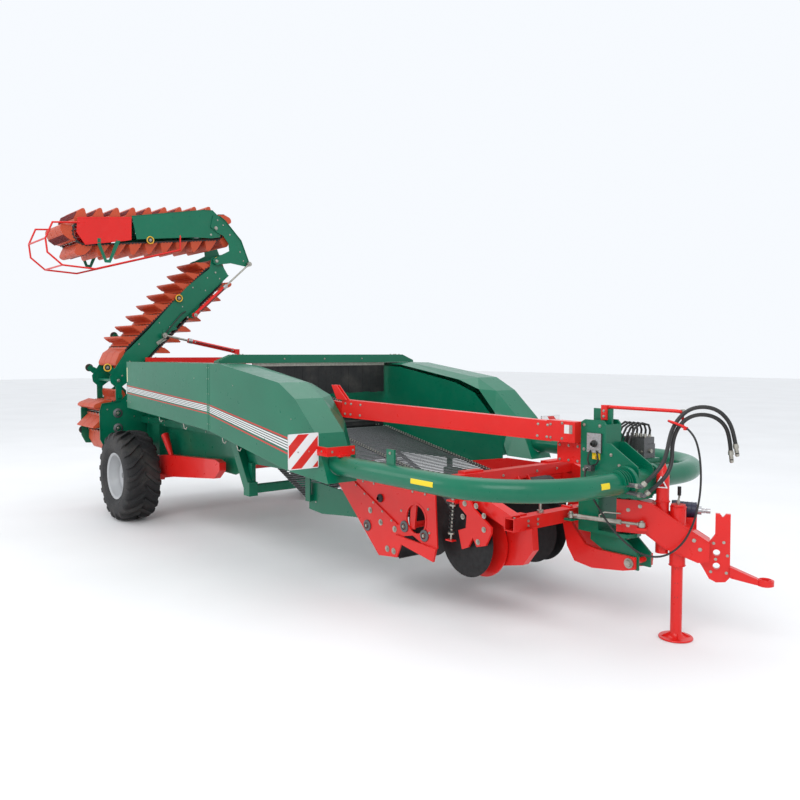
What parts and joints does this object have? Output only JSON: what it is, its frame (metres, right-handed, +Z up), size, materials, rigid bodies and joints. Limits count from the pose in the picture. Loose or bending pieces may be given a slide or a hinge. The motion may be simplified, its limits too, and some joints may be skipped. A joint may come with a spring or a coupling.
{
  "type": "trailed potato harvester",
  "caption": "Trailed sieving-web root harvester on two wheels with ring drawbar, digging unit, webs under side hoods and a folding rear discharge elevator.",
  "frame": {"origin": "on the ground, in the middle of the footprint with the free hoses left out (the wheels' axis lies 2.831 m behind it and the machine's centre line 0.2435 m to its left)", "axes": "+X forward towards the towing eye, +Y to the machine's left, +Z up"},
  "size_m": [8.323, 3.711, 3.9792],
  "materials": {
    "green_paint": "gloss",
    "red_paint": "gloss",
    "silver_paint": "satin",
    "zinc": "satin",
    "steel_rod": "worn",
    "bare_disc": "matt",
    "tyre": "matt",
    "black_rubber": "matt",
    "flight_rubber": "matt",
    "board": "reflective",
    "lamp": "gloss",
    "hydraulics": "satin"
  },
  "bodies": {
    "frame": {"main_frame": "green_paint", "web_side_arms": "green_paint", "axle_beam": "red_paint", "rear_panel_right": "green_paint", "rear_panel_left": "green_paint", "front_hood_right": "green_paint", "front_hood_left": "green_paint", "top_cross_beam": "green_paint", "rear_cross_beam": "red_paint", "haulm_curtain": "black_rubber", "conveyor_rollers": "black_rubber", "front_sieving_web": "steel_rod", "rear_sieving_web": "steel_rod", "cross_conveyor_belt": "black_rubber", "ring_drawbar": "green_paint", "headstock": "green_paint", "valve_block": "hydraulics", "gearbox": "red_paint", "brace_beam": "red_paint", "hose_guide": "red_paint", "hose_1": "black_rubber", "hose_2": "black_rubber", "hose_couplers": "zinc", "hose_loop": "black_rubber", "board_brackets": "red_paint", "warning_boards": "board", "rear_lamps": "lamp", "elevator_base": "green_paint", "elevator_base_belt": "flight_rubber"},
    "wheel_right": {"tyre_right": "tyre", "wheel_rim_right": "silver_paint"},
    "wheel_left": {"tyre_left": "tyre", "wheel_rim_left": "silver_paint"},
    "elevator_slope": {"elevator_slope_frame": "green_paint", "elevator_slope_belt": "flight_rubber"},
    "elevator_elbow": {"elevator_elbow_frame": "green_paint"},
    "elevator_top": {"elevator_top_frame": "green_paint", "discharge_end_frame": "red_paint", "elevator_top_belt": "flight_rubber"},
    "fold_barrel": {"fold_cylinder_barrel": "red_paint"},
    "fold_rod": {"fold_cylinder_rod": "zinc"},
    "lift_barrel": {"lift_cylinder_barrel": "red_paint"},
    "lift_rod": {"lift_cylinder_rod": "zinc"},
    "drawbar": {"drawbar": "red_paint", "drawbar_post": "red_paint", "hitch_plate": "red_paint", "towing_eye": "red_paint", "shaft_bearing": "red_paint"},
    "stand": {"stand_leg": "red_paint"},
    "drive_shaft": {"drive_shaft": "zinc"},
    "strut_tube": {"strut_tube": "zinc"},
    "strut_screw": {"strut_screw": "zinc"},
    "digging_unit": {"digging_frame": "red_paint", "digging_share": "bare_disc"},
    "disc_1": {"disc_coulter_1": "bare_disc"},
    "disc_2": {"disc_coulter_2": "bare_disc"},
    "disc_3": {"disc_coulter_3": "bare_disc"},
    "disc_4": {"disc_coulter_4": "bare_disc"},
    "ridge_roller_right": {"ridge_roller_1": "black_rubber"},
    "ridge_roller_left": {"ridge_roller_2": "black_rubber"}
  },
  "joints": [
    {"name": "wheel_right_spin", "type": "hinge", "parent": "frame", "child": "wheel_right", "pos_m": [-2.83147, -1.0935, 0.5375], "axis": [0, 1, 0], "continuous": true},
    {"name": "wheel_left_spin", "type": "hinge", "parent": "frame", "child": "wheel_left", "pos_m": [-2.83147, 1.5805, 0.5375], "axis": [0, 1, 0], "continuous": true},
    {"name": "elevator_lift", "type": "hinge", "parent": "frame", "child": "elevator_slope", "pos_m": [-3.74647, -1.0105, 1.66], "axis": [1, 0, 0], "range_deg": [-8, 8]},
    {"name": "elevator_fold", "type": "hinge", "parent": "elevator_slope", "child": "elevator_elbow", "pos_m": [-3.74647, 0.3415, 3.25], "axis": [-1, 0, 0], "range_deg": [0, 55]},
    {"name": "discharge_unfold", "type": "hinge", "parent": "elevator_elbow", "child": "elevator_top", "pos_m": [-3.74647, 0.3385, 3.69], "axis": [-1, 0, 0], "range_deg": [0, 95]},
    {"name": "fold_cylinder_swing", "type": "hinge", "parent": "elevator_slope", "child": "fold_barrel", "pos_m": [-3.32147, 0.0015, 2.512], "axis": [-1, 0, 0], "range_deg": [0, 12]},
    {"name": "fold_cylinder_stroke", "type": "slide", "parent": "fold_barrel", "child": "fold_rod", "axis": [0, 0.7451, 0.6669], "range_m": [-0.4, 0]},
    {"name": "lift_cylinder_swing", "type": "hinge", "parent": "frame", "child": "lift_barrel", "pos_m": [-3.32147, 0.5895, 2.031], "axis": [1, 0, 0], "range_deg": [-5, 5]},
    {"name": "lift_cylinder_stroke", "type": "slide", "parent": "lift_barrel", "child": "lift_rod", "axis": [0, -0.9799, 0.1993], "range_m": [-0.1, 0.1]},
    {"name": "drawbar_steer", "type": "hinge", "parent": "frame", "child": "drawbar", "pos_m": [3.30853, 0.2435, 0.85], "axis": [0, 0, 1], "range_deg": [-40, 0], "deforming": ["hose_loop"]},
    {"name": "strut_swing", "type": "hinge", "parent": "frame", "child": "strut_tube", "pos_m": [2.97153, 0.0435, 0.817], "axis": [0, 0, 1], "range_deg": [-10.5, 0]},
    {"name": "strut_stroke", "type": "slide", "parent": "strut_tube", "child": "strut_screw", "axis": [0.9705, 0.241, 0], "range_m": [-0.105, 0]},
    {"name": "stand_slide", "type": "slide", "parent": "drawbar", "child": "stand", "axis": [0, 0, 1], "range_m": [0, 0.33]},
    {"name": "drive_shaft_spin", "type": "hinge", "parent": "drawbar", "child": "drive_shaft", "pos_m": [3.60629, 0.57113, 0.89], "axis": [0.8721, 0.4894, 0], "continuous": true},
    {"name": "digging_unit_lower", "type": "hinge", "parent": "frame", "child": "digging_unit", "pos_m": [3.41853, 0.2435, 0.54], "axis": [0, -1, 0], "range_deg": [0, 8.5]},
    {"name": "disc_1_spin", "type": "hinge", "parent": "digging_unit", "child": "disc_1", "pos_m": [2.44853, -0.5065, 0.62], "axis": [0, 1, 0], "continuous": true},
    {"name": "disc_2_spin", "type": "hinge", "parent": "digging_unit", "child": "disc_2", "pos_m": [2.44853, 0.1835, 0.62], "axis": [0, 1, 0], "continuous": true},
    {"name": "disc_3_spin", "type": "hinge", "parent": "digging_unit", "child": "disc_3", "pos_m": [2.44853, 0.3035, 0.62], "axis": [0, 1, 0], "continuous": true},
    {"name": "disc_4_spin", "type": "hinge", "parent": "digging_unit", "child": "disc_4", "pos_m": [2.44853, 0.9935, 0.62], "axis": [0, 1, 0], "continuous": true},
    {"name": "ridge_roller_right_spin", "type": "hinge", "parent": "digging_unit", "child": "ridge_roller_right", "pos_m": [1.94853, -0.1315, 0.66], "axis": [0, 1, 0], "continuous": true},
    {"name": "ridge_roller_left_spin", "type": "hinge", "parent": "digging_unit", "child": "ridge_roller_left", "pos_m": [1.94853, 0.6185, 0.66], "axis": [0, 1, 0], "continuous": true}
  ],
  "couplings": [
    {"joint": "fold_cylinder_swing", "follows": "elevator_fold", "ratio": 0.2145},
    {"joint": "fold_cylinder_stroke", "follows": "elevator_fold", "m_per_rad": -0.411},
    {"joint": "lift_cylinder_swing", "follows": "elevator_lift", "ratio": -0.45},
    {"joint": "lift_cylinder_stroke", "follows": "elevator_lift", "m_per_rad": 0.677},
    {"joint": "strut_swing", "follows": "drawbar_steer", "ratio": 0.25},
    {"joint": "strut_stroke", "follows": "drawbar_steer", "m_per_rad": 0.144}
  ]
}
